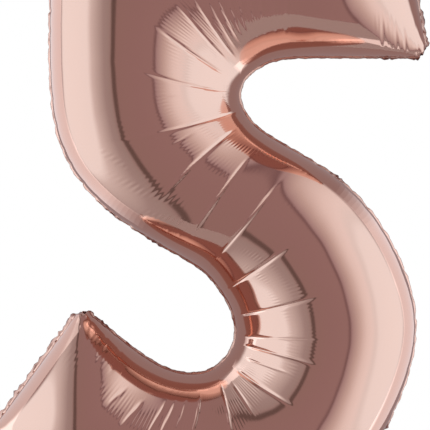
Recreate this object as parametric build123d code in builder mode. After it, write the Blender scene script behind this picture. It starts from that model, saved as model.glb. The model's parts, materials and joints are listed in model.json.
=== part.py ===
"""Foil number balloon: an inflated digit five with a self-sealing filling valve.

The balloon stands upright and faces -Y, with +X to its right and +Z up. The origin is the
centre of its box. Two cut films are welded round the rim and filled, so every stroke of the
digit is a fat tube that is almost round, and a flat welded seam runs all the way round it.
"""

from build123d import *
import math
import os

# Driving dimensions, in millimetres
crown = 98  # how far the filled stroke bulges to each side of the seam
film = 1.0  # stand-in thickness of a foil panel, whose real film is far thinner
seam = 7  # width of the welded rim outside the filled stroke
end_rise = 100  # length over which a stroke's closed end swells to its full depth
end_edge = 3  # how far the stroke bulges right at its closed end

tab_width = 26  # hanging tabs on the top seam
tab_height = 15
tab_round = 6
tab_across = (-66, 174)  # where the two tabs stand along the top seam
tab_foot = 454  # height of the top seam's edge under the tabs
hang_hole_radius = 3

neck_width = 40  # short flat stretch of seam that the filling tail hangs from
neck_height = 18
neck_foot = -424.7
hinge_height = -426  # the fold line between neck and tail
tail_width = 32
tail_length = 44
tail_round = 6
inlet_radius = 5  # hole in the tail's back film, for a straw or a filling nozzle
inlet_drop = 24  # how far the hole's centre is below the fold line

valve_width = 26  # the two valve lips stand inside, just above the bottom seam
valve_foot = -400
valve_length = 110
lip_film = 0.5
lip_gap = 0.3  # gap between the two lips, from film to film

# Where each section across the stroke begins and ends on the seam, from the end of the
# top bar, round the corner, down the stem and round the bowl to its lower end. The first
# point is on the side of the top edge, the stem's outside and the bowl's inside.
sections = [
    ((282, 446), (300, 246)),
    ((189, 451), (198, 241)),
    ((108, 453), (121, 240)),
    ((-21, 454), (81, 229)),
    ((-168, 436), (59, 212)),
    ((-211, 240), (47, 189)),
    ((-189, 97), (48, 168)),
    ((-101, 3), (68, 138)),
    ((-9, -52), (125, 102)),
    ((18, -80), (196, 53)),
    ((34, -107), (263, -44)),
    ((41, -136), (284, -132)),
    ((36, -162), (263, -227)),
    ((22, -181), (189, -341)),
    ((6, -192), (67, -402)),
    ((-18, -197), (-55, -407)),
    ((-48, -192), (-146, -377)),
    ((-85, -172), (-217, -333)),
    ((-167, -105), (-298, -284)),
]
end_steps = (0, 0.08, 0.3, 0.6)  # extra sections in each end, as shares of end_rise


def between(here, there, share):
    """The section that lies the given share of the way from one section to another."""
    return tuple(
        (a[0] + (b[0] - a[0]) * share, a[1] + (b[1] - a[1]) * share)
        for a, b in zip(here, there)
    )


def rise(step):
    """How full the stroke is at a step of its closed end: a quarter of an ellipse."""
    return max(end_edge / crown, math.sqrt(1 - (1 - step) ** 2))


def stroke_sections():
    """Every section of the stroke with its fullness, from one closed end to the other."""
    first = [(between(sections[0], sections[1], t), rise(t)) for t in end_steps]
    middle = [(section, 1) for section in sections[1:-1]]
    last = [(between(sections[-1], sections[-2], t), rise(t)) for t in end_steps]
    return first + middle + last[::-1]


def across(section):
    """The plane that cuts the stroke at a section, and half the stroke's width there."""
    (ax, az), (bx, bz) = section
    width = math.dist((ax, az), (bx, bz))
    along = ((bx - ax) / width, 0, (bz - az) / width)
    middle = ((ax + bx) / 2, 0, (az + bz) / 2)
    facing = (along[2], 0, -along[0])
    return Plane(origin=middle, x_dir=along, z_dir=facing), width / 2


def seam_line(side, out):
    """Points along one side of the rim, moved out from the filled stroke."""
    points = []
    for section, _ in stroke_sections():
        plane, half = across(section)
        reach = half + out
        points.append(plane.from_local_coords((reach if side else -reach, 0, 0)))
    return points


def beyond(points, out):
    """The line of points, carried straight on past both of its ends."""
    first = points[0] + (points[0] - points[2]).normalized() * out
    last = points[-1] + (points[-1] - points[-3]).normalized() * out
    return [first] + points[1:-1] + [last]


# The front half of the filled stroke, and the half of the gas space inside it
with BuildPart() as bulge:
    for section, full in stroke_sections():
        plane, half = across(section)
        with BuildSketch(plane):
            with BuildLine():
                EllipticalCenterArc((0, 0), half, crown * full, arc_size=180)
                Line((-half, 0), (half, 0))
            make_face()
    loft()

with BuildPart() as hollow:
    for section, full in stroke_sections():
        plane, half = across(section)
        with BuildSketch(plane):
            with BuildLine():
                EllipticalCenterArc((0, 0), half - film, crown * full - film, arc_size=180)
                Line((film - half, 0), (half - film, 0))
            make_face()
    loft()

# The front panel: the bulge and the flat rim round it, with tabs above and a neck below
edge_a = beyond(seam_line(0, seam), seam)
edge_b = beyond(seam_line(1, seam), seam)
with BuildPart() as front_foil:
    add(bulge.part)
    with BuildSketch(Plane.XZ):
        with BuildLine():
            Spline(*[(p.X, p.Z) for p in edge_a])
            Line((edge_a[-1].X, edge_a[-1].Z), (edge_b[-1].X, edge_b[-1].Z))
            Spline(*[(p.X, p.Z) for p in edge_b[::-1]])
            Line((edge_b[0].X, edge_b[0].Z), (edge_a[0].X, edge_a[0].Z))
        make_face()
        with Locations(*[(x, tab_foot) for x in tab_across]):
            RectangleRounded(tab_width, 2 * tab_height, tab_round)
        with Locations((0, neck_foot)):
            Rectangle(neck_width, neck_height, align=(Align.CENTER, Align.MIN))
    extrude(amount=film)
    add(hollow.part, mode=Mode.SUBTRACT)
    with BuildSketch(Plane.XZ):
        with Locations(*[(x, tab_foot + tab_height / 2) for x in tab_across]):
            Circle(hang_hole_radius)
    extrude(amount=film, mode=Mode.SUBTRACT)
front_foil.part.label = "front_foil"

# The back panel is cut and filled the same, and lies face to face with it at the rim
with BuildPart() as back_foil:
    add(front_foil.part.mirror(Plane.XZ))
back_foil.part.label = "back_foil"

# The filling tail: two tongues of foil on the fold line, its upper edge rolled round it
with BuildPart() as tail:
    with BuildSketch(Plane.XZ):
        with Locations((0, hinge_height)):
            Rectangle(tail_width, tail_length / 2, align=(Align.CENTER, Align.MAX))
        with Locations((0, hinge_height - tail_length / 2)):
            RectangleRounded(tail_width, tail_length, tail_round)
    extrude(amount=film, both=True)
    with Locations(Location((0, 0, hinge_height), (0, 90, 0))):
        Cylinder(film, tail_width)

with BuildPart() as tail_front_foil:
    add(tail.part)
    split(bisect_by=Plane.XZ, keep=Keep.TOP)
tail_front_foil.part.label = "tail_front_foil"

with BuildPart() as tail_back_foil:
    add(tail.part)
    split(bisect_by=Plane.XZ, keep=Keep.BOTTOM)
    with BuildSketch(Plane.XZ):
        with Locations((0, hinge_height - inlet_drop)):
            Circle(inlet_radius)
    extrude(amount=-2 * film, mode=Mode.SUBTRACT)
tail_back_foil.part.label = "tail_back_foil"

# The self-sealing valve: two lips of clear film that the gas presses together
with BuildPart() as valve_front_film:
    with BuildSketch(Plane.XZ.offset(lip_gap / 2)):
        with Locations((0, valve_foot)):
            Rectangle(valve_width, valve_length, align=(Align.CENTER, Align.MIN))
    extrude(amount=lip_film)
valve_front_film.part.label = "valve_front_film"

with BuildPart() as valve_back_film:
    add(valve_front_film.part.mirror(Plane.XZ))
valve_back_film.part.label = "valve_back_film"

os.makedirs("parts", exist_ok=True)
export_step(front_foil.part, "parts/front_foil.step")
export_step(back_foil.part, "parts/back_foil.step")
export_step(tail_front_foil.part, "parts/tail_front_foil.step")
export_step(tail_back_foil.part, "parts/tail_back_foil.step")
export_step(valve_front_film.part, "parts/valve_front_film.step")
export_step(valve_back_film.part, "parts/valve_back_film.step")
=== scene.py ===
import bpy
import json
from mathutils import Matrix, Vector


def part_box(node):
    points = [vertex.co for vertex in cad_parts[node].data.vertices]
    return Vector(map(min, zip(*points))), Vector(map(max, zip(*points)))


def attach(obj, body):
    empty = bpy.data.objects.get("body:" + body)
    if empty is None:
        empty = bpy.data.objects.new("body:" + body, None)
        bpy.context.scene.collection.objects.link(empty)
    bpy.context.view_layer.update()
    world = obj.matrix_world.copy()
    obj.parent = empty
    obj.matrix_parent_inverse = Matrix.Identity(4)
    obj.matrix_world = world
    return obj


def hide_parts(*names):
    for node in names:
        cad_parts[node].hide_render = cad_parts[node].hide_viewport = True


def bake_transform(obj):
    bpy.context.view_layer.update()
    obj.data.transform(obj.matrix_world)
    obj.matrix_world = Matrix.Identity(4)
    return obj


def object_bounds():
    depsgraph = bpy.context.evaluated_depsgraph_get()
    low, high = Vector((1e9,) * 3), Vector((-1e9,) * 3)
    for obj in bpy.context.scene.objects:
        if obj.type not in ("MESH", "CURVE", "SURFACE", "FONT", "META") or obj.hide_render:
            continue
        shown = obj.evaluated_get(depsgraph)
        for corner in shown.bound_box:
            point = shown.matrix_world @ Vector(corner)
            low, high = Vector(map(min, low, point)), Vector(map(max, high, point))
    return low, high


bl_info = {
    "name": "Foil number balloon",
    "version": (1, 0, 0),
    "blender": (4, 5, 0),
    "location": "View3D > Sidebar > Balloon",
    "description": "Builds the film, the rim, the filling tail and the valve of a foil digit five",
    "category": "Object",
}

import json
import math

import bpy
import numpy as np
from bpy.props import FloatProperty, FloatVectorProperty, IntProperty, PointerProperty
from mathutils import Matrix, Vector

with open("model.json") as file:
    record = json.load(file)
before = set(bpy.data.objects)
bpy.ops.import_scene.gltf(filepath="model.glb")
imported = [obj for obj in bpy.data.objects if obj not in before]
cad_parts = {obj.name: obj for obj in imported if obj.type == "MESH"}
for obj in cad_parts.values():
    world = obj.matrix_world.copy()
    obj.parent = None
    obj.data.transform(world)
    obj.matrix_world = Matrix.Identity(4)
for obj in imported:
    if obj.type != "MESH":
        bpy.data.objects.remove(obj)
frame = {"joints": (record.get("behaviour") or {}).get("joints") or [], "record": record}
CAD_BOX = [[float(v) for v in corner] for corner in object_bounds()]
FRONT_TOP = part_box("front_foil")[1][2]
TAIL_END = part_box("tail_front_foil")[0][2]
VALVE_LOW, VALVE_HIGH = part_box("valve_front_film")
JOINTS = {joint["name"]: joint for joint in frame["joints"]}
MOUNTS = {mount["name"]: mount for mount in frame["record"]["mounts"]}
MM = 0.001
FOLD_Z = JOINTS["tail_fold"]["pos_m"][2]
RIM_STEPS = (0.33, 0.66, 1.0)  # the rim's mesh lines, as shares of its width
RIM_ROWS = len(RIM_STEPS)
RIM_CURL = 0.0014  # how far the free rim curls to the back
RIM_SHADE = 0.42  # painted shade: how far the smooth rim's colour is darkened from the foil's towards the shade tint
# painted shade: the share of the foil's colour that the rim is darkened to where its shade is full
PAINTED_SHADE_TINT = (0.30, 0.20, 0.20)
END_LOBES = (0.58, 0.25)  # how much painted shade darkens the rim's crumpled lobes at the bar's end and the lower end
FILM_GAP = 0.0003  # half the distance between the front and the back rim's outer faces
SEAM_MARGINS = (0.012, 0.008)  # where the puckers of a long side start and end
END_MARGINS = (0.010, 0.008)
PUCKER_STRENGTH = (0.16, 1.3, 0.5)  # on straight seams, in full outer bends and near the ends
PUCKER_RISE = 0.003  # how far from the seam a pucker reaches its depth
COMBS_PER_PLEAT = 3
COMB_PATCH = (0.014, 0.011)  # half sizes along and across the stroke
CRUMPLE_ENDS = 0.020  # how far from the ends the long rims are crumpled
CRUMPLE_SIZE = 0.011
KNOB = 0.010  # how far the film's sharp corners are drawn in
KNOB_REACH = 0.030
KNOB_CURVE = 9
SOFT_BEND = 0.35  # the bend at which the inner wall has fully straightened
TAB_WIDTH = 0.026
TAB_DROP = 0.0095  # how far a tab reaches below the middle of its hole
TAB_STEP = 0.0006
HANG_HOLE = 0.003
INLET_HOLE = 0.005
CORNER_ROUND = 0.006
NECK_WIDTH = 0.040
NECK_TOP = -0.4065
NECK_START = 0.0055  # how far the neck ends above the fold
NECK_STEP = 0.001
TAIL_WIDTH = 0.032
TAIL_LAP = 0.0065  # how far the tail's films lie on the neck
TAIL_LIFT = 0.0012
TAIL_WELD = 0.004
TAIL_STEP = 0.0008
VALVE_STEP = 0.0015
VALVE_LIFT = 0.00055
VALVE_FILM = 0.0002
FLOOR_DROP = 1.3
FLOOR_REACH = 1.0
CAMERA_DISTANCE = 3.2
CAMERA_PLACE = (0.0128, 0.0182)  # across and up
SEEN_WIDTH = 0.582
PANELS = (("front_panel", "front_foil", 11), ("back_panel", "back_foil", 12))

# Where the seam lies at each section across the stroke, in millimetres, from the end of the
# top bar, round the corner, down the stem and round the bowl. The first point of each pair
# is on the side of the top edge, the stem's outside and the bowl's inside.
SECTIONS = (
    ((260, 446), (301, 232)),
    ((180, 451), (198, 232)),
    ((108, 453), (124, 232)),
    ((-21, 454), (82, 224)),
    ((-168, 436), (59, 209)),
    ((-211, 240), (47, 189)),
    ((-189, 97), (48, 168)),
    ((-101, 3), (68, 138)),
    ((-9, -52), (125, 102)),
    ((18, -80), (196, 53)),
    ((34, -107), (263, -44)),
    ((41, -136), (284, -132)),
    ((36, -162), (263, -227)),
    ((22, -181), (189, -341)),
    ((6, -192), (67, -402)),
    ((-18, -197), (-55, -407)),
    ((-48, -192), (-146, -377)),
    ((-85, -172), (-217, -333)),
    ((-167, -105), (-298, -284)),
)

# The long pleats of each panel: the section where a pleat meets the inner side of its bend,
# the section where it runs out, how far across the stroke each end is (-1 and 1 are the
# seams), and how deep it is beside the others.
PLEATS = (
    (0.12, 0.13, 0.95, 0.66, 0.25),
    (0.29, 0.31, 0.96, 0.55, 0.4),
    (0.41, 0.42, 0.95, 0.62, 0.25),
    (0.58, 0.60, 0.95, 0.58, 0.35),
    (2.22, 2.12, 0.69, 0.34, 0.35),
    (2.45, 2.36, 0.66, 0.36, 0.3),
    (2.73, 2.60, 0.65, 0.32, 0.4),
    (2.95, 2.80, 0.66, 0.34, 0.35),
    (3.17, 2.98, 0.63, 0.29, 0.45),
    (3.34, 3.17, 0.66, 0.28, 0.4),
    (3.51, 3.35, 0.68, 0.26, 0.6),
    (3.72, 3.52, 0.72, 0.25, 0.5),
    (3.98, 3.73, 0.77, 0.21, 0.8),
    (4.24, 4.07, 0.74, 0.21, 0.8),
    (4.67, 4.52, 0.75, 0.13, 1.0),
    (5.30, 5.04, 0.74, -0.16, 1.0),
    (5.48, 5.44, 0.31, -0.06, 0.25),
    (6.26, 6.05, 0.82, -0.34, 1.2),
    (6.36, 6.45, 0.32, -0.04, 0.2),
    (6.76, 6.98, 0.70, -0.43, 1.1),
    (7.44, 7.60, 0.49, -0.68, 1.0),
    (8.11, 8.19, 0.35, -0.89, 1.1),
    (9.20, 9.13, -0.85, 0.01, 1.1),
    (10.37, 10.20, -0.87, 0.02, 1.2),
    (11.25, 11.19, -0.84, -0.08, 0.8),
    (11.66, 11.78, -0.82, -0.02, 1.0),
    (12.15, 12.10, -0.78, -0.30, 0.5),
    (12.73, 12.63, -0.78, -0.11, 1.1),
    (13.25, 13.30, -0.72, -0.35, 0.5),
    (13.73, 13.95, -0.75, -0.22, 1.0),
    (14.61, 14.79, -0.69, -0.28, 0.8),
    (15.05, 15.15, -0.66, -0.35, 0.5),
    (15.40, 15.53, -0.62, -0.22, 0.8),
    (15.69, 15.82, -0.59, -0.17, 0.8),
    (16.30, 16.44, -0.50, -0.14, 0.8),
    (16.83, 16.96, -0.55, -0.30, 0.6),
    (17.30, 17.20, -0.95, -0.60, 0.5),
    (17.55, 17.40, -0.97, -0.55, 0.6),
    (17.80, 17.62, -0.97, -0.60, 0.6),
)

# Crumpled places of the long rims: the side of the stroke, and the section.
CRUMPLES = ((1, 0.15), (1, 0.55), (1, 8.75), (1, 12.35), (-1, 6.75), (-1, 7.3), (-1, 17.7))


def length(name, description, default):
    """A setting that is a length in metres."""
    return FloatProperty(name=name, description=description, default=default,
                         subtype="DISTANCE", unit="LENGTH")


class BalloonSettings(bpy.types.PropertyGroup):
    """Sizes and finishes of the filled balloon"""

    crown: length("Crown", "How far the film bulges from the seam", 0.096)
    crown_shift: FloatProperty(
        name="Crown shift", description="How far the crown moves to the outside of a bend",
        default=0.10, min=0, max=0.4, subtype="FACTOR")
    inner_wall: FloatProperty(
        name="Inner wall", description="How straight the film runs down to the inside of a bend",
        default=0.17, min=0, max=0.5, subtype="FACTOR")
    end_rise: length("End rise", "Length over which the lower end swells to full depth", 0.1)
    bar_rise: length("Bar rise", "Length over which the end of the top bar swells", 0.14)
    film: length("Film", "Thickness that the film is drawn with", 0.0003)
    rim: length("Rim", "Width of the welded rim that shows outside the fold", 0.0024)
    crease_depth: length("Crease depth", "Depth of the sharp line of a long pleat", 0.0012)
    crease_width: length("Crease width", "How far from its line a crease fades to a third", 0.0015)
    sag_depth: length("Sag depth", "How far the film beside a long pleat is drawn in", 0.0006)
    sag_width: length("Sag width", "How far the film beside a long pleat is drawn in from", 0.012)
    pucker_spacing: length("Pucker spacing", "Distance from one seam pucker to the next", 0.027)
    pucker_depth: length("Pucker depth", "How far the seam is drawn in at a pucker", 0.0022)
    crinkle: length("Crinkle", "Height of the soft unevenness of the whole film", 0.0005)
    crinkle_size: length("Crinkle size", "Distance over which the film's unevenness changes", 0.085)
    columns: IntProperty(
        name="Columns", description="Mesh columns along the stroke", default=1150, min=100)
    rows: IntProperty(
        name="Rows", description="Mesh rows across a panel", default=60, min=16)
    seed: IntProperty(
        name="Seed", description="Chooses the irregular places of small puckers", default=5)
    foil_colour: FloatVectorProperty(
        name="Foil colour", description="Colour of the metallised film",
        default=(0.80, 0.48, 0.385), subtype="COLOR", min=0, max=1)
    valve_colour: FloatVectorProperty(
        name="Valve colour", description="Colour of the clear valve film",
        default=(0.86, 0.88, 0.90), subtype="COLOR", min=0, max=1)


# ---------------------------------------------------------------- outline and surface


def section_knots():
    """Distance along the stroke at each section, and the two rows of seam points."""
    side_a = np.array([s[0] for s in SECTIONS], float) * MM
    side_b = np.array([s[1] for s in SECTIONS], float) * MM
    steps = [np.linalg.norm(np.diff(side, axis=0), axis=1) for side in (side_a, side_b)]
    return np.r_[0, np.cumsum((steps[0] + steps[1]) / 2)], side_a, side_b


def spline(knots, points, at):
    """A natural cubic spline through the points, read at the given distances."""
    n = len(knots)
    h = np.diff(knots)
    system = np.eye(n)
    right = np.zeros((n, points.shape[1]))
    for i in range(1, n - 1):
        system[i, i - 1:i + 2] = h[i - 1], 2 * (h[i - 1] + h[i]), h[i]
        right[i] = 6 * ((points[i + 1] - points[i]) / h[i] - (points[i] - points[i - 1]) / h[i - 1])
    bend = np.linalg.solve(system, right)
    i = np.clip(np.searchsorted(knots, at) - 1, 0, n - 2)
    step = h[i][:, None]
    a = (knots[i + 1] - at)[:, None] / step
    b = 1 - a
    curve = ((a**3 - a) * bend[i] + (b**3 - b) * bend[i + 1]) * step**2 / 6
    return a * points[i] + b * points[i + 1] + curve


def column_places(settings):
    """Distances along the stroke of the mesh columns, close together in the ends and bends."""
    knots, side_a, side_b = section_knots()
    fine = np.linspace(0, knots[-1], 4000)
    moves = [np.linalg.norm(np.diff(spline(knots, s, fine), axis=0), axis=1)
             for s in (side_a, side_b)]
    run = np.r_[0, np.cumsum(np.maximum(*moves))]
    ends = settings.columns // 18
    quarter = np.linspace(0, math.pi / 2, ends, endpoint=False)
    start = settings.end_rise * (1 - np.cos(quarter))
    middle = np.linspace(settings.end_rise, run[-1] - settings.end_rise,
                         settings.columns - 2 * ends)
    return np.interp(np.r_[start, middle, (run[-1] - start)[::-1]], run, fine)


class Stroke:
    """The filled stroke as a grid of points, with its distances along and across."""

    def __init__(self, settings):
        knots, side_a, side_b = section_knots()
        self.place = column_places(settings)
        self.station = np.interp(self.place, knots, np.arange(len(knots)))
        self.a = spline(knots, side_a, self.place)
        self.b = spline(knots, side_b, self.place)
        self.turn = np.linspace(0, 1, settings.rows)
        self.reach = -np.cos(math.pi * self.turn)
        rise = np.minimum(self.place / settings.bar_rise,
                          (knots[-1] - self.place) / settings.end_rise)
        self.full = np.sqrt(1 - (1 - np.clip(rise, 0, 1)) ** 2)
        middle = (self.a + self.b) / 2
        half = (self.b - self.a) / 2
        flat = middle[:, None] + half[:, None] * self.reach[None, :, None]
        edge_a = np.gradient(path_length(flat[:, :1], 0)[:, 0])
        edge_b = np.gradient(path_length(flat[:, -1:], 0)[:, 0])
        self.bend = (edge_b - edge_a) / (edge_b + edge_a)
        shift = settings.crown_shift * self.bend[:, None]
        from_crown = self.reach[None] - shift * (1 - self.reach[None] ** 2)
        inside = smooth((SOFT_BEND - np.sign(from_crown) * self.bend[:, None]) / (2 * SOFT_BEND))
        power = 0.5 + settings.inner_wall * inside
        bulge = np.clip(1 - from_crown ** 2, 0, 1) ** power
        depth = settings.crown * self.full[:, None] * bulge
        self.points = np.stack([flat[..., 0], -depth, flat[..., 1]], axis=-1)
        self.along = path_length(self.points, 0)
        self.across = path_length(self.points, 1)


def path_length(points, axis):
    """Distance travelled from the first row or column of a grid."""
    steps = np.linalg.norm(np.diff(points, axis=axis), axis=-1)
    start = np.zeros_like(np.take(steps, [0], axis=axis))
    return np.concatenate([start, np.cumsum(steps, axis=axis)], axis=axis)


# ---------------------------------------------------------------- pleats and puckers


def smooth(value):
    """Rises from 0 to 1 with level ends."""
    value = np.clip(value, 0, 1)
    return value * value * (3 - 2 * value)


def distance_along(stroke, column):
    """Distance of every point from a line that follows mesh columns, one place for each row."""
    rows = np.arange(len(stroke.turn))
    low = np.clip(np.floor(column).astype(int), 0, len(stroke.station) - 2)
    part = column - low
    line = stroke.along[low, rows] * (1 - part) + stroke.along[low + 1, rows] * part
    return stroke.along - line[None]


def long_pleats(stroke, settings, draw):
    """The creases and the sag beside them, as two heights of the panel from 0 to -1."""
    crease = np.zeros(stroke.along.shape)
    sag = np.zeros(stroke.along.shape)
    columns = np.arange(len(stroke.station))
    for near, far, x_near, x_far, strength in PLEATS:
        share = (stroke.reach - x_near) / (x_far - x_near)
        station = near + (far - near) * np.clip(share, -0.2, 1.1)
        away = distance_along(stroke, np.interp(station, stroke.station, columns))
        window = smooth((share + 0.10) / 0.16) * smooth((1.04 - share) / 0.40)
        width = settings.crease_width * (0.8 + 0.4 * draw.random())
        crease -= strength * window[None] * np.exp(-(away / width) ** 2 * 0.7)
        wide = smooth((share + 0.35) / 0.5) * smooth((1.25 - share) / 0.7)
        lean = 1 + 0.5 * (draw.random() - 0.5) * np.sign(away)
        sag -= strength * wide[None] * lean * np.exp(-np.abs(away) / settings.sag_width)
    return crease, sag


def seam_notches(stroke, settings, draw, side):
    """Places and depths of the puckers that draw in one long side of the seam."""
    edge = stroke.along[:, 0 if side < 0 else -1]
    columns = np.arange(len(edge))
    outside = np.clip(stroke.bend * side, -0.15, 1)
    notches = []
    straight, bent, near_ends = PUCKER_STRENGTH
    at = SEAM_MARGINS[0]
    while at < edge[-1] - SEAM_MARGINS[1]:
        column = np.interp(at, edge, columns)
        curved = np.interp(column, columns, outside)
        ends = math.exp(-min(at, edge[-1] - at) / 0.05)
        depth = straight + bent * curved + near_ends * ends
        depth *= 0.5 + 0.8 * draw.random()
        notches.append((column, depth * settings.pucker_depth))
        at += settings.pucker_spacing * (0.62 + 0.75 * draw.random())
    return notches


def puckers(stroke, notches, side):
    """Height of the panel beside the seam, and how far each column's seam is drawn in."""
    height = np.zeros(stroke.along.shape)
    inset = np.zeros(len(stroke.station))
    edge = stroke.along[:, 0 if side < 0 else -1]
    columns = np.arange(len(edge))
    from_seam = stroke.across if side < 0 else stroke.across[:, -1:] - stroke.across
    for column, depth in notches:
        away = np.abs(distance_along(stroke, np.full(len(stroke.turn), column)))
        reach = 0.006 + 3.5 * depth
        fade = np.exp(-from_seam / reach) * (1 - np.exp(-from_seam / PUCKER_RISE))
        height -= 0.8 * depth * fade * np.exp(-away / (0.0028 + 0.10 * from_seam))
        past = edge - np.interp(column, columns, edge)
        hook = np.where(past < 0, np.exp(past / 0.009), np.exp(-past / 0.0022))
        inset += depth * hook
    return height, inset


def end_puckers(stroke, settings, draw, first):
    """Height of the panel beside the seam that closes one end of the stroke."""
    height = np.zeros(stroke.along.shape)
    column = 0 if first else -1
    from_end = stroke.along if first else stroke.along[-1:] - stroke.along
    span = np.linalg.norm(np.diff(stroke.points[column], axis=0), axis=1)
    edge = np.r_[0, np.cumsum(span)]
    at = END_MARGINS[0]
    while at < edge[-1] - END_MARGINS[1]:
        row = np.interp(at, edge, np.arange(len(edge)))
        away = np.abs(edge - np.interp(row, np.arange(len(edge)), edge))
        corner = math.exp(-min(at, edge[-1] - at) / 0.03)
        depth = settings.pucker_depth * (0.5 + 0.8 * corner) * (0.4 + draw.random())
        fade = np.exp(-from_end / 0.018) * (1 - np.exp(-from_end / PUCKER_RISE))
        height -= depth * fade * np.exp(-away / 0.005)[None]
        at += settings.pucker_spacing * (0.5 + 0.6 * draw.random())
    return height


def comb_mask(stroke, settings, draw):
    """Small patches beside the long pleats where the film is combed into fine ripples."""
    mask = np.zeros(stroke.along.shape)
    for near, far, x_near, x_far, strength in PLEATS:
        for _ in range(COMBS_PER_PLEAT):
            station = near + (draw.random() - 0.5) * 0.6
            x = x_near + (x_far - x_near) * (0.1 + 1.1 * draw.random())
            column = int(np.argmin(np.abs(stroke.station - station)))
            row = int(np.argmin(np.abs(stroke.reach - x)))
            size = 0.6 + 0.7 * draw.random()
            away = (stroke.along - stroke.along[column, row]) / (COMB_PATCH[0] * size)
            off = (stroke.across - stroke.across[column, row]) / (COMB_PATCH[1] * size)
            patch = np.exp(-away ** 4 - off ** 2)
            mask = np.maximum(mask, min(1, 0.4 + 0.6 * strength) * patch)
    return mask


def panel_surface(stroke, settings, seed):
    """One filled panel: its grid, the way out of it, and the shapes that are pressed into it."""
    draw = np.random.default_rng(settings.seed)
    notches = {side: seam_notches(stroke, settings, draw, side) for side in (-1, 1)}
    own = np.random.default_rng(seed)
    crease, sag = long_pleats(stroke, settings, own)
    height = end_puckers(stroke, settings, own, True)
    height += end_puckers(stroke, settings, own, False)
    combs = comb_mask(stroke, settings, own)
    points = stroke.points.copy()
    outward = np.insert(stroke.b - stroke.a, 1, 0, axis=1)
    outward /= np.linalg.norm(outward, axis=1)[:, None]
    for side in (-1, 1):
        raised, inset = puckers(stroke, notches[side], side)
        height += raised
        from_seam = stroke.across if side < 0 else stroke.across[:, -1:] - stroke.across
        pull = inset[:, None] * np.exp(-from_seam / 0.008)
        points -= side * outward[:, None] * pull[..., None]
    swell = np.minimum(1, stroke.full / 0.5)[:, None]
    edge = np.minimum(1, np.sin(math.pi * stroke.turn) / 0.12)[None]
    fade = swell * edge
    shapes = {"crease": crease, "sag": sag, "pucker": height, "comb": combs, "free": 1}
    return points, outward, {key: value * fade for key, value in shapes.items()}


def with_rim(stroke, points, outward, settings):
    """The panel's grid with the welded rim added on its four sides, and the rim's mask, which also
    holds the rim's painted shade.
    """
    draw = np.random.default_rng(settings.seed + 20)
    inner = slice(RIM_ROWS, -RIM_ROWS)
    n, m = points.shape[:2]
    grid = np.zeros((n + 2 * RIM_ROWS, m + 2 * RIM_ROWS, 3))
    mask = np.ones(grid.shape[:2])
    grid[inner, inner] = points
    mask[inner, inner] = 0
    start = points[0] - points[2]
    finish = points[-1] - points[-3]
    first = outward[0][[2, 1, 0]] * [-1, 0, 1]
    last = outward[-1][[2, 1, 0]] * [-1, 0, 1]
    first = first * np.sign((first * start.mean(0)).sum())
    last = last * np.sign((last * finish.mean(0)).sum())
    for k, step in enumerate(RIM_STEPS):
        grid[RIM_ROWS - 1 - k, inner] = points[0] + first * settings.rim * step
        grid[n + RIM_ROWS + k, inner] = points[-1] + last * settings.rim * step
    full = np.pad(outward, ((RIM_ROWS, RIM_ROWS), (0, 0)), mode="edge")
    for k, step in enumerate(RIM_STEPS):
        grid[:, RIM_ROWS - 1 - k] = grid[:, RIM_ROWS] - full * settings.rim * step
        grid[:, m + RIM_ROWS + k] = grid[:, m + RIM_ROWS - 1] + full * settings.rim * step
    return flutter(grid, mask, draw, stroke), mask


def wave(at, draw, pitch):
    """An uneven wave along a line, from -1 to 1, without repeats."""
    total = np.zeros_like(at)
    for octave, weight in ((1, 0.5), (1.7, 0.3), (3.1, 0.2)):
        total += weight * np.sin(2 * math.pi * (at * octave / pitch + draw.random()))
    return total


def crumple_rim(grid, mask, outer, lift, wide, shade):
    """Curls and widens the rim beside the first or the last line of a grid, and sets its painted
    shade.
    """
    seam = grid[abs(outer - RIM_ROWS)]
    for k in range(RIM_ROWS):
        line = abs(outer - k)
        grid[line, :, 1] += lift * (RIM_ROWS - k) / RIM_ROWS
        grid[line] = seam + (grid[line] - seam) * wide[:, None]
        mask[line] = shade


def flutter(grid, mask, draw, stroke):
    """Waves the free rim, and crumples it into lobes at the ends and in a few places, with painted
    shade that darkens the lobes.
    """
    n, m = mask.shape
    along = path_length(grid, 0)
    across = path_length(grid, 1)
    station = np.pad(stroke.station, RIM_ROWS, mode="edge")
    for side, outer in ((-1, 0), (1, m - 1)):
        edge = along[:, abs(outer - RIM_ROWS)]
        crumple = np.exp(-np.minimum(edge, edge[-1] - edge) / CRUMPLE_ENDS)
        for place in (place for where, place in CRUMPLES if where == side):
            middle = np.interp(place, station, edge)
            crumple = np.maximum(crumple, np.exp(-((edge - middle) / CRUMPLE_SIZE) ** 2))
        lift = RIM_CURL + wave(edge, draw, 0.034) * 0.0008
        lift += crumple * wave(edge, draw, 0.011) * 0.0022
        wide = 1 + 0.25 * wave(edge, draw, 0.021)
        wide += 1.3 * crumple * np.abs(wave(edge, draw, 0.024))
        # painted shade: the smooth rim gets RIM_SHADE, growing to full shade where the rim is
        # crumpled
        shade = RIM_SHADE + (1 - RIM_SHADE) * crumple
        crumple_rim(grid.swapaxes(0, 1), mask.T, outer, lift, wide, shade)
    for outer, darker in zip((0, n - 1), END_LOBES):
        edge = across[abs(outer - RIM_ROWS)]
        lobes = np.abs(wave(edge, draw, 0.030)) ** 0.7
        lift = RIM_CURL + wave(edge, draw, 0.012) * 0.003
        # painted shade on the end lobes, darker where a lobe is bigger
        crumple_rim(grid, mask, outer, lift, 0.8 + 2.3 * lobes, RIM_SHADE + darker * lobes)
    return grid


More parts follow.
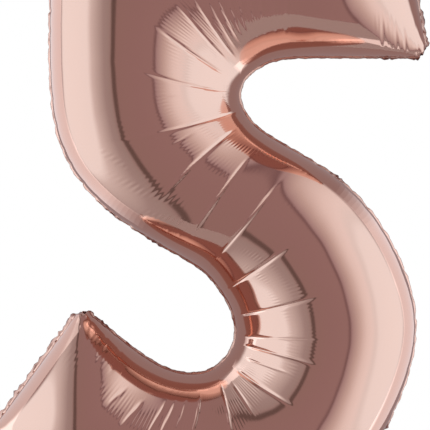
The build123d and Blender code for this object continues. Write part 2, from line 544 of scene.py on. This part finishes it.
def round_corners(grid, draw):
    """Blunts the four corners of the film and bunches them up into small crumpled knobs."""
    n, m = grid.shape[:2]
    rows = ((RIM_ROWS, 24), (n - 1 - RIM_ROWS, -24))
    columns = ((RIM_ROWS, 9), (m - 1 - RIM_ROWS, -9))
    for i, step_i in rows:
        for j, step_j in columns:
            corner = grid[i, j].copy()
            inward = (grid[i + step_i, j + step_j] - corner) * [1, 0, 1]
            inward /= np.linalg.norm(inward)
            sideways = inward[[2, 1, 0]] * [1, 0, -1]
            deep = (grid - corner) @ inward
            off = (grid - corner) @ sideways
            near = np.exp(-(np.hypot(deep, off) / KNOB_REACH) ** 4)
            blunt = KNOB * (1 + 0.18 * wave(off, draw, 0.013)) - KNOB_CURVE * off ** 2
            short = np.maximum(blunt - deep, 0)
            grid += (near * short * 0.85)[..., None] * inward
            folds = np.exp(-((deep - KNOB) / 0.007) ** 2 - (off / 0.012) ** 2)
            grid[..., 1] -= folds * (0.004 + 0.0022 * wave(off + 0.4 * deep, draw, 0.010))
    return grid


# ---------------------------------------------------------------- mesh helpers


def grid_faces(shape):
    """Quads of a grid of points, as rows of four vertex numbers."""
    n, m = shape
    index = np.arange(n * m).reshape(n, m)
    quads = [index[:-1, :-1], index[1:, :-1], index[1:, 1:], index[:-1, 1:]]
    return np.stack(quads, axis=-1).reshape(-1, 4)


def film_object(name, parts, attributes=("weld",)):
    """A mesh object of one or more films, each with points, faces, a UV map and attributes."""
    points = np.vstack([part["points"] for part in parts])
    starts = np.cumsum([0] + [len(part["points"]) for part in parts])
    faces = np.vstack([part["faces"] + start for part, start in zip(parts, starts)])
    mesh = bpy.data.meshes.new(name)
    mesh.from_pydata(points.tolist(), [], faces.tolist())
    mesh.update()
    corners = np.empty(len(mesh.loops), dtype=np.int32)
    mesh.loops.foreach_get("vertex_index", corners)
    uv = np.vstack([part["uv"] for part in parts])
    layer = mesh.uv_layers.new(name="FilmUV")
    layer.data.foreach_set("uv", uv[corners].astype(np.float32).ravel())
    for key in attributes:
        values = np.concatenate([np.broadcast_to(part.get(key, 0.0), len(part["points"]))
                                 for part in parts])
        made = mesh.attributes.new(key, "FLOAT", "POINT")
        made.data.foreach_set("value", values.astype(np.float32))
    mesh.polygons.foreach_set("use_smooth", np.ones(len(mesh.polygons), dtype=bool))
    piece = bpy.data.objects.new(name, mesh)
    bpy.context.scene.collection.objects.link(piece)
    return piece


def thicken(piece, thickness):
    """Gives a sheet its thickness, on its inner side."""
    solid = piece.modifiers.new("Film thickness", "SOLIDIFY")
    solid.thickness = thickness
    solid.offset = -1
    solid.use_even_offset = False


def plate(x_span, z_span, step, holes=(), corners=()):
    """A flat upright film, facing -Y, with punched round holes and rounded corners."""
    xs = np.linspace(*x_span, round((x_span[1] - x_span[0]) / step) + 1)
    zs = np.linspace(*z_span, round((z_span[1] - z_span[0]) / step) + 1)
    x, z = np.meshgrid(xs, zs, indexing="ij")
    points = np.stack([x.ravel(), 0 * x.ravel(), z.ravel()], axis=-1)
    faces = grid_faces(x.shape)
    flat = points[:, [0, 2]]
    centres = flat[faces].mean(axis=1)
    keep = np.ones(len(faces), dtype=bool)
    rounds = []
    for hole_x, hole_z, radius in holes:
        middle = np.array([hole_x, hole_z])
        keep &= np.linalg.norm(centres - middle, axis=1) > radius
        rounds.append((middle, radius, np.linalg.norm(flat - middle, axis=1) < radius + step))
    for right, top in corners:
        toward = np.array([1 if right else -1, 1 if top else -1])
        middle = np.array([x_span[right], z_span[top]]) - toward * CORNER_ROUND
        inside, near = (((at - middle) * toward > -1e-9).all(axis=1) for at in (centres, flat))
        keep &= ~(inside & (np.linalg.norm(centres - middle, axis=1) > CORNER_ROUND))
        rounds.append((middle, CORNER_ROUND, near))
    faces = faces[keep]
    used = np.bincount(faces.ravel(), minlength=len(points))
    for middle, radius, near in rounds:
        edge = near & (used > 0) & (used < 4)
        away = flat[edge] - middle
        away *= radius / np.linalg.norm(away, axis=1)[:, None]
        points[edge, 0], points[edge, 2] = (middle + away).T
    number = np.cumsum(used > 0) - 1
    kept = points[used > 0]
    # the flat film gets the rim's painted shade in its colour
    return {"points": kept, "faces": number[faces], "uv": kept[:, [2, 0]].copy(),
            "weld": np.full(len(kept), RIM_SHADE)}


def tongue_waves(part, draw, size, pitch):
    """Makes a flat film gently uneven."""
    x, z = part["points"][:, 0], part["points"][:, 2]
    lift = wave(z + 0.3 * x, draw, pitch) + 0.6 * wave(x - 0.2 * z, draw, pitch * 0.6)
    part["points"][:, 1] += size * lift


# ---------------------------------------------------------------- materials


def node(tree, kind, **values):
    """Adds a node and sets its properties."""
    made = tree.nodes.new(kind)
    for key, value in values.items():
        setattr(made, key, value)
    return made


def group_inputs(group, kind, defaults):
    """Adds named number inputs to a node group."""
    for name, default in defaults:
        socket = group.interface.new_socket(name, in_out="INPUT", socket_type=kind)
        socket.default_value = default


def maths(tree, operation, first, second):
    """A Math node fed by sockets or plain numbers, and its output."""
    made = node(tree, "ShaderNodeMath", operation=operation)
    for place, value in enumerate((first, second)):
        if isinstance(value, (int, float)):
            made.inputs[place].default_value = value
        elif value is not None:
            tree.links.new(value, made.inputs[place])
    return made.outputs[0]


def film_texture_group():
    """Shared group: grain, draw lines and combed ripples of a stretched film, on its UV map."""
    group = bpy.data.node_groups.new("Film Texture", "ShaderNodeTree")
    group_inputs(group, "NodeSocketFloat", (
        ("Grain Scale", 900.0), ("Grain", 0.000004), ("Draw Lines", 0.00001),
        ("Comb Pitch", 0.0055), ("Comb", 0.00006), ("Comb Mask", 0.0)))
    for name in ("Height", "Shade"):
        group.interface.new_socket(name, in_out="OUTPUT", socket_type="NodeSocketFloat")
    enter = node(group, "NodeGroupInput")
    leave = node(group, "NodeGroupOutput")
    uv = node(group, "ShaderNodeUVMap", uv_map="FilmUV")
    stretch = node(group, "ShaderNodeMapping")
    stretch.inputs["Scale"].default_value = (9.0, 210.0, 1.0)
    lines = node(group, "ShaderNodeTexNoise")
    lines.inputs["Scale"].default_value = 1.0
    lines.inputs["Detail"].default_value = 3.0
    grain = node(group, "ShaderNodeTexNoise")
    parts = node(group, "ShaderNodeSeparateXYZ")
    link = group.links.new
    link(uv.outputs["UV"], stretch.inputs["Vector"])
    link(stretch.outputs["Vector"], lines.inputs["Vector"])
    link(uv.outputs["UV"], grain.inputs["Vector"])
    link(uv.outputs["UV"], parts.inputs["Vector"])
    link(enter.outputs["Grain Scale"], grain.inputs["Scale"])
    turn = maths(group, "DIVIDE", parts.outputs["X"], enter.outputs["Comb Pitch"])
    ripple = maths(group, "SINE", maths(group, "MULTIPLY", turn, 2 * math.pi), None)
    comb = maths(group, "MULTIPLY", ripple, enter.outputs["Comb"])
    comb = maths(group, "MULTIPLY", comb, enter.outputs["Comb Mask"])
    first = maths(group, "MULTIPLY", lines.outputs["Fac"], enter.outputs["Draw Lines"])
    second = maths(group, "MULTIPLY", grain.outputs["Fac"], enter.outputs["Grain"])
    total = maths(group, "ADD", maths(group, "ADD", first, second), comb)
    link(total, leave.inputs["Height"])
    link(lines.outputs["Fac"], leave.inputs["Shade"])
    return group


def foil_material(settings, texture):
    """Rose metallised film: a mirror under a clear skin, duller where it is welded, with painted
    shade that darkens the rim's colour.
    """
    material = bpy.data.materials.new("foil_finish")
    material.use_nodes = True
    tree = material.node_tree
    link = tree.links.new
    shader = tree.nodes["Principled BSDF"]
    shader.inputs["Metallic"].default_value = 1.0
    shader.inputs["Coat Weight"].default_value = 0.35
    shader.inputs["Coat Roughness"].default_value = 0.03
    shader.inputs["Coat IOR"].default_value = 1.6
    film = node(tree, "ShaderNodeGroup", node_tree=texture)
    comb = node(tree, "ShaderNodeAttribute", attribute_name="comb")
    weld = node(tree, "ShaderNodeAttribute", attribute_name="weld")
    # painted shade: the rim's base colour is mixed towards a darker tint by its mask
    painted_shade_mix = node(tree, "ShaderNodeMixRGB")
    painted_shade_mix.inputs["Color1"].default_value = (*settings.foil_colour, 1)
    painted_shade_colour = [c * share for c, share in zip(settings.foil_colour, PAINTED_SHADE_TINT)]
    painted_shade_mix.inputs["Color2"].default_value = (*painted_shade_colour, 1)
    dull = maths(tree, "MULTIPLY_ADD", weld.outputs["Fac"], 0.16)
    uneven = maths(tree, "MULTIPLY", film.outputs["Shade"], 0.035)
    dull.node.inputs[2].default_value = 0.055
    bump = node(tree, "ShaderNodeBump")
    bump.inputs["Distance"].default_value = 1.0
    link(comb.outputs["Fac"], film.inputs["Comb Mask"])
    link(weld.outputs["Fac"], painted_shade_mix.inputs["Fac"])
    link(painted_shade_mix.outputs["Color"], shader.inputs["Base Color"])
    link(maths(tree, "ADD", dull, uneven), shader.inputs["Roughness"])
    link(film.outputs["Height"], bump.inputs["Height"])
    link(bump.outputs["Normal"], shader.inputs["Normal"])
    return material


def valve_material(settings, texture):
    """Milky clear film of the valve, with the draw lines of blown polyethylene."""
    material = bpy.data.materials.new("valve_finish")
    material.use_nodes = True
    tree = material.node_tree
    shader = tree.nodes["Principled BSDF"]
    shader.inputs["Alpha"].default_value = 0.75
    shader.inputs["Coat Weight"].default_value = 0.4
    film = node(tree, "ShaderNodeGroup", node_tree=texture)
    film.inputs["Draw Lines"].default_value = 0.00003
    film.inputs["Comb"].default_value = 0.0
    milky = node(tree, "ShaderNodeMixRGB")
    milky.inputs["Color1"].default_value = (*settings.valve_colour, 1)
    milky.inputs["Color2"].default_value = (*[c * 0.9 for c in settings.valve_colour], 1)
    bump = node(tree, "ShaderNodeBump")
    bump.inputs["Distance"].default_value = 1.0
    link = tree.links.new
    link(film.outputs["Shade"], milky.inputs["Fac"])
    link(milky.outputs["Color"], shader.inputs["Base Color"])
    link(maths(tree, "MULTIPLY", film.outputs["Shade"], 0.5), shader.inputs["Roughness"])
    link(film.outputs["Height"], bump.inputs["Height"])
    link(bump.outputs["Normal"], shader.inputs["Normal"])
    return material


def finish_of(name, make, settings):
    """The material of the name, made the first time that a piece asks for it."""
    texture = bpy.data.node_groups.get("Film Texture") or film_texture_group()
    return bpy.data.materials.get(name) or make(settings, texture)


# ---------------------------------------------------------------- film relief


def relief_tree():
    """Geometry nodes that press creases, sag, puckers and unevenness into a filled film."""
    tree = bpy.data.node_groups.new("Film Relief", "GeometryNodeTree")
    tree.interface.new_socket("Geometry", in_out="INPUT", socket_type="NodeSocketGeometry")
    group_inputs(tree, "NodeSocketFloat", (
        ("Crease Depth", 0.001), ("Sag Depth", 0.001), ("Crinkle Height", 0.0005),
        ("Crinkle Size", 0.08), ("Seed", 1.0)))
    tree.interface.new_socket("Material", in_out="INPUT", socket_type="NodeSocketMaterial")
    tree.interface.new_socket("Geometry", in_out="OUTPUT", socket_type="NodeSocketGeometry")
    enter = node(tree, "NodeGroupInput")
    leave = node(tree, "NodeGroupOutput")
    link = tree.links.new
    marks = {}
    for key in ("crease", "sag", "pucker", "free"):
        marks[key] = node(tree, "GeometryNodeInputNamedAttribute", data_type="FLOAT")
        marks[key].inputs["Name"].default_value = key
    crease = maths(tree, "MULTIPLY", marks["crease"].outputs[0], enter.outputs["Crease Depth"])
    sag = maths(tree, "MULTIPLY", marks["sag"].outputs[0], enter.outputs["Sag Depth"])
    noise = node(tree, "ShaderNodeTexNoise", noise_dimensions="4D")
    noise.inputs["Detail"].default_value = 1.5
    link(node(tree, "GeometryNodeInputPosition").outputs[0], noise.inputs["Vector"])
    link(maths(tree, "DIVIDE", 1.0, enter.outputs["Crinkle Size"]), noise.inputs["Scale"])
    link(enter.outputs["Seed"], noise.inputs["W"])
    uneven = maths(tree, "SUBTRACT", noise.outputs["Fac"], 0.5)
    uneven = maths(tree, "MULTIPLY", uneven, enter.outputs["Crinkle Height"])
    uneven = maths(tree, "MULTIPLY", uneven, marks["free"].outputs[0])
    height = maths(tree, "ADD", maths(tree, "ADD", crease, sag), uneven)
    height = maths(tree, "ADD", height, marks["pucker"].outputs[0])
    scale = node(tree, "ShaderNodeVectorMath", operation="SCALE")
    link(node(tree, "GeometryNodeInputNormal").outputs[0], scale.inputs["Vector"])
    link(height, scale.inputs["Scale"])
    move = node(tree, "GeometryNodeSetPosition")
    realize = node(tree, "GeometryNodeRealizeInstances")
    paint = node(tree, "GeometryNodeSetMaterial")
    link(enter.outputs["Geometry"], move.inputs["Geometry"])
    link(scale.outputs["Vector"], move.inputs["Offset"])
    link(move.outputs["Geometry"], realize.inputs["Geometry"])
    link(realize.outputs["Geometry"], paint.inputs["Geometry"])
    link(enter.outputs["Material"], paint.inputs["Material"])
    link(paint.outputs["Geometry"], leave.inputs["Geometry"])
    return tree


def press_relief(piece, settings, seed, material):
    """Runs the relief on a film and keeps the result as its plain mesh."""
    tree = bpy.data.node_groups.get("Film Relief") or relief_tree()
    modifier = piece.modifiers.new("Film relief", "NODES")
    modifier.node_group = tree
    values = {"Crease Depth": settings.crease_depth, "Sag Depth": settings.sag_depth,
              "Crinkle Height": 2 * settings.crinkle, "Crinkle Size": settings.crinkle_size,
              "Seed": float(seed), "Material": material}
    for item in tree.interface.items_tree:
        if item.in_out == "INPUT" and item.name in values:
            modifier[item.identifier] = values[item.name]
    shaped = piece.evaluated_get(bpy.context.evaluated_depsgraph_get())
    mesh = bpy.data.meshes.new_from_object(shaped)
    piece.modifiers.clear()
    piece.data = mesh


# ---------------------------------------------------------------- operators


def balloon_film(stroke, settings, seed):
    """The filled part of a panel with its rim, as points, faces, UV and attributes."""
    points, outward, shapes = panel_surface(stroke, settings, seed)
    grid, mask = with_rim(stroke, points, outward, settings)
    grid = round_corners(grid, np.random.default_rng(seed + 30))
    grid[..., 1] -= settings.film
    place = np.broadcast_to(np.pad(stroke.place, RIM_ROWS, mode="edge")[:, None], mask.shape)
    uv = np.stack([place, path_length(grid, 1)], axis=-1)
    part = {"points": grid.reshape(-1, 3), "faces": grid_faces(mask.shape),
            "uv": uv.reshape(-1, 2), "weld": mask.ravel()}
    for key, value in shapes.items():
        part[key] = np.pad(value, RIM_ROWS).ravel()
    return part


def tab_and_neck_films(settings, draw):
    """The hanging tabs above the top seam and the flat neck below the bottom seam."""
    films = []
    for name in ("hang_hole_left", "hang_hole_right"):
        x, _, z = MOUNTS[name]["pos_m"]
        half = TAB_WIDTH / 2
        films.append(plate((x - half, x + half), (z - TAB_DROP, FRONT_TOP), TAB_STEP,
                           holes=((x, z, HANG_HOLE),), corners=((0, 1), (1, 1))))
    half = NECK_WIDTH / 2
    films.append(plate((-half, half), (FOLD_Z + NECK_START, NECK_TOP), NECK_STEP))
    for film in films:
        tongue_waves(film, draw, 0.0002, 0.03)
        film["points"][:, 1] -= 1.7 * settings.film
    return films


def turned_back(part, whole):
    """The same film for the back of the balloon. A flat rim stays where it is."""
    back = dict(part)
    points = part["points"].copy()
    flat = (part["weld"] > RIM_SHADE / 2) & (not whole)
    points[:, 1] = np.where(flat, points[:, 1] + 2 * FILM_GAP, -points[:, 1])
    back["points"] = points
    back["faces"] = part["faces"][:, ::-1]
    return back


class BALLOON_OT_foil_panels(bpy.types.Operator):
    """Build the filled front and back panels with their rim, hanging tabs and neck"""

    bl_idname = "balloon.foil_panels"
    bl_label = "Foil Panels"

    def execute(self, context):
        settings = context.scene.balloon
        foil = finish_of("foil_finish", foil_material, settings)
        stroke = Stroke(settings)
        for name, cad_node, seed in PANELS:
            body = balloon_film(stroke, settings, seed)
            films = tab_and_neck_films(settings, np.random.default_rng(settings.seed + 40))
            if cad_node == "back_foil":
                body = turned_back(body, False)
                films = [turned_back(film, True) for film in films]
            keys = ("weld", "comb", "crease", "sag", "pucker", "free")
            piece = film_object(name, [body, *films], keys)
            press_relief(piece, settings, seed, foil)
            thicken(piece, settings.film)
            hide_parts(cad_node)
            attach(piece, "envelope")
        return {"FINISHED"}


class BALLOON_OT_filling_tail(bpy.types.Operator):
    """Build the two flat tongues of the filling tail, which hang from the fold at the end of the
    neck
    """

    bl_idname = "balloon.filling_tail"
    bl_label = "Filling Tail"

    def execute(self, context):
        settings = context.scene.balloon
        foil = finish_of("foil_finish", foil_material, settings)
        half = TAIL_WIDTH / 2
        inlet = MOUNTS["filling_inlet"]["pos_m"]
        for name, cad_node, holes, seed in (
                ("tail_front_film", "tail_front_foil", (), 61),
                ("tail_back_film", "tail_back_foil", ((inlet[0], inlet[2], INLET_HOLE),), 62)):
            film = plate((-half, half), (TAIL_END, FOLD_Z + TAIL_LAP), TAIL_STEP,
                         holes=holes, corners=((0, 0), (1, 0)))
            tongue_waves(film, np.random.default_rng(seed), 0.00022, 0.024)
            film["points"][:, 1] -= TAIL_LIFT
            edge = half - np.abs(film["points"][:, 0])
            # painted shade along the tail's welded edges
            film["weld"] = RIM_SHADE * (edge < TAIL_WELD)
            if cad_node == "tail_back_foil":
                film = turned_back(film, True)
            piece = film_object(name, [film], ("weld", "comb"))
            piece.data.materials.append(foil)
            thicken(piece, settings.film)
            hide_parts(cad_node)
            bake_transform(piece)
        return {"FINISHED"}


class BALLOON_OT_valve_lips(bpy.types.Operator):
    """Build the two clear lips of the self-sealing valve, inside the balloon"""

    bl_idname = "balloon.valve_lips"
    bl_label = "Valve Lips"

    def execute(self, context):
        settings = context.scene.balloon
        clear = finish_of("valve_finish", valve_material, settings)
        for side, seed in (("front", 71), ("back", 72)):
            film = plate((VALVE_LOW[0], VALVE_HIGH[0]), (VALVE_LOW[2], VALVE_HIGH[2]), VALVE_STEP)
            tongue_waves(film, np.random.default_rng(seed), 0.00008, 0.04)
            film["points"][:, 1] -= VALVE_LIFT
            if side == "back":
                film = turned_back(film, True)
            piece = film_object("valve_%s_lip_film" % side, [film])
            piece.data.materials.append(clear)
            thicken(piece, VALVE_FILM)
            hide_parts("valve_%s_film" % side)
            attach(piece, "valve_%s_lip" % side)
        return {"FINISHED"}


class BALLOON_OT_stage(bpy.types.Operator):
    """Build the pale floor, the studio light and the camera"""

    bl_idname = "balloon.stage"
    bl_label = "Stage"

    def execute(self, context):
        add_floor()
        add_studio(context.scene)
        add_cards(context.scene)
        add_camera(context.scene)
        return {"FINISHED"}


def add_floor():
    """A small pale floor, well below the hanging balloon."""
    mesh = bpy.data.meshes.new("floor")
    z = CAD_BOX[0][2] - FLOOR_DROP
    corners = [(-FLOOR_REACH, -FLOOR_REACH, z), (FLOOR_REACH, -FLOOR_REACH, z),
               (FLOOR_REACH, FLOOR_REACH, z), (-FLOOR_REACH, FLOOR_REACH, z)]
    mesh.from_pydata(corners, [], [(0, 1, 2, 3)])
    floor = bpy.data.objects.new("floor", mesh)
    bpy.context.scene.collection.objects.link(floor)
    pale = bpy.data.materials.new("pale_floor")
    pale.use_nodes = True
    shader = pale.node_tree.nodes["Principled BSDF"]
    shader.inputs["Base Color"].default_value = (0.86, 0.85, 0.84, 1)
    shader.inputs["Roughness"].default_value = 0.7
    mesh.materials.append(pale)


# The studio's brightness from the far left (-1) over straight ahead (0) to the far right (1).
SIDE_LIGHT = (
    (-1, (1.08, 1.28, 1.40)), (-0.82, (1.04, 1.24, 1.36)), (-0.76, (0.76, 0.84, 0.90)),
    (-0.68, (0.61, 0.65, 0.69)), (-0.56, (0.42, 0.41, 0.44)), (-0.48, (0.39, 0.38, 0.40)),
    (-0.445, (0.38, 0.34, 0.36)), (-0.42, (0.15, 0.12, 0.12)), (-0.37, (0.15, 0.12, 0.12)),
    (-0.345, (0.33, 0.26, 0.27)), (0, (0.34, 0.26, 0.28)), (0.3, (0.35, 0.27, 0.29)),
    (0.345, (0.20, 0.14, 0.16)), (0.375, (0.43, 0.37, 0.41)), (0.5, (0.65, 0.64, 0.66)),
    (0.64, (0.92, 1.00, 1.06)), (0.72, (0.98, 1.09, 1.17)), (0.79, (0.92, 1.07, 1.16)),
    (0.84, (1.04, 1.24, 1.36)), (1, (1.08, 1.28, 1.40)),
)
BEHIND_LIGHT = (0.34, 0.275, 0.285, 1)
BEHIND_FROM = 0.20  # how far back a direction points where the light from behind sets in
BEHIND_FULL = 0.34


def add_studio(scene):
    """A dim studio with wide soft light from both sides. The camera sees plain white."""
    world = bpy.data.worlds.new("studio")
    scene.world = world
    world.use_nodes = True
    tree = world.node_tree
    link = tree.links.new
    place = node(tree, "ShaderNodeTexCoord")
    parts = node(tree, "ShaderNodeSeparateXYZ")
    ramp = node(tree, "ShaderNodeValToRGB")
    link(place.outputs["Generated"], parts.inputs["Vector"])
    across = maths(tree, "MULTIPLY_ADD", parts.outputs["X"], 0.5)
    across.node.inputs[2].default_value = 0.5
    link(across, ramp.inputs["Fac"])
    elements = ramp.color_ramp.elements
    for at, colour in SIDE_LIGHT[1:-1]:
        elements.new((at + 1) / 2).color = (*colour, 1)
    elements[0].color = (*SIDE_LIGHT[0][1], 1)
    elements[-1].color = (*SIDE_LIGHT[-1][1], 1)
    behind = node(tree, "ShaderNodeMapRange", interpolation_type="SMOOTHSTEP")
    behind.inputs["From Min"].default_value = BEHIND_FROM
    behind.inputs["From Max"].default_value = BEHIND_FULL
    link(parts.outputs["Y"], behind.inputs["Value"])
    around = node(tree, "ShaderNodeMixRGB")
    around.inputs["Color2"].default_value = BEHIND_LIGHT
    link(behind.outputs["Result"], around.inputs["Fac"])
    link(ramp.outputs["Color"], around.inputs["Color1"])
    seen = node(tree, "ShaderNodeLightPath")
    mix = node(tree, "ShaderNodeMixRGB")
    mix.inputs["Color2"].default_value = (1, 1, 1, 1)
    link(seen.outputs["Is Camera Ray"], mix.inputs["Fac"])
    link(around.outputs["Color"], mix.inputs["Color1"])
    link(mix.outputs["Color"], tree.nodes["Background"].inputs["Color"])
    scene.view_settings.view_transform = "Standard"


# The soft lights that follow the balloon's outer edges: both ends across and up, in metres,
# the share of the full brightness, and whether the light fades towards its second end.
CARDS = (
    ((-0.250, 0.75), (-0.250, 0.08), 1.0, False),
    ((-0.250, 0.08), (-0.135, -0.075), 1.0, True),
    ((-0.190, -0.09), (-0.370, -0.31), 0.72, False),
    ((0.335, -0.50), (0.335, -0.05), 1.0, False),
    ((0.335, -0.05), (0.225, 0.105), 1.0, True),
)
CARD_DEPTH = (-0.035, 0.07)
CARD_BRIGHTNESS = 0.66
FADE_SHARE = 0.45
FADE_STEPS = 9
CARD_COLOUR = (0.90, 1.06, 1.15)


def card_parts(fades):
    """The stretches of a light, as shares of its length, each with its brightness."""
    if not fades:
        return [(0.0, 1.0, 1.0)]
    cuts = np.linspace(1 - FADE_SHARE, 1, FADE_STEPS + 1)
    steps = [(cuts[k], cuts[k + 1], 1 - (k + 0.5) / FADE_STEPS) for k in range(FADE_STEPS)]
    return [(0.0, cuts[0], 1.0), *steps]


def add_card(scene, start, end, brightness):
    """One upright soft light between two points beside the balloon, facing it."""
    width = CARD_DEPTH[1] - CARD_DEPTH[0]
    run = end - start
    light = bpy.data.lights.new("side_card", "AREA")
    light.shape = "RECTANGLE"
    light.size = width
    light.size_y = run.length
    light.energy = brightness * math.pi * width * run.length
    light.color = CARD_COLOUR
    card = bpy.data.objects.new("side_card", light)
    along = run.normalized()
    turn = Matrix((Vector((0, 1, 0)), along, Vector((0, 1, 0)).cross(along))).transposed()
    card.matrix_world = Matrix.Translation((start + end) / 2) @ turn.to_4x4()
    card.visible_camera = False
    scene.collection.objects.link(card)


def add_cards(scene):
    """Long soft lights, close beside the balloon, that light its outer edges."""
    depth = sum(CARD_DEPTH) / 2
    for first, last, share, fades in CARDS:
        start = Vector((first[0], depth, first[1]))
        end = Vector((last[0], depth, last[1]))
        for low, high, bright in card_parts(fades):
            add_card(scene, start.lerp(end, low), start.lerp(end, high),
                     CARD_BRIGHTNESS * share * bright)


def add_camera(scene):
    """A long lens square on to the digit, close enough to crop its top and bottom."""
    lens = bpy.data.cameras.new("camera")
    lens.sensor_width = 36
    lens.lens = lens.sensor_width * CAMERA_DISTANCE / SEEN_WIDTH
    camera = bpy.data.objects.new("camera", lens)
    camera.location = (CAMERA_PLACE[0], -CAMERA_DISTANCE, CAMERA_PLACE[1])
    camera.rotation_euler = (math.pi / 2, 0, 0)
    scene.collection.objects.link(camera)
    scene.camera = camera


class BALLOON_PT_sidebar(bpy.types.Panel):
    """Lists the balloon's sizes and its building steps"""

    bl_idname = "BALLOON_PT_sidebar"
    bl_label = "Foil Balloon"
    bl_space_type = "VIEW_3D"
    bl_region_type = "UI"
    bl_category = "Balloon"

    def draw(self, context):
        for name in BalloonSettings.__annotations__:
            self.layout.prop(context.scene.balloon, name)
        for operator in OPERATORS:
            self.layout.operator(operator.bl_idname)


OPERATORS = (BALLOON_OT_foil_panels, BALLOON_OT_filling_tail, BALLOON_OT_valve_lips,
             BALLOON_OT_stage)
CLASSES = (BalloonSettings, *OPERATORS, BALLOON_PT_sidebar)


def register():
    """Registers the classes and hangs the settings on the scene."""
    for entry in CLASSES:
        bpy.utils.register_class(entry)
    bpy.types.Scene.balloon = PointerProperty(type=BalloonSettings)


def unregister():
    """Takes the settings and the classes away again."""
    del bpy.types.Scene.balloon
    for entry in reversed(CLASSES):
        bpy.utils.unregister_class(entry)


def main():
    """Builds every piece, then the stage."""
    register()
    for operator in OPERATORS:
        group, name = operator.bl_idname.split(".")
        getattr(getattr(bpy.ops, group), name)()


if __name__ == "__main__":
    main()
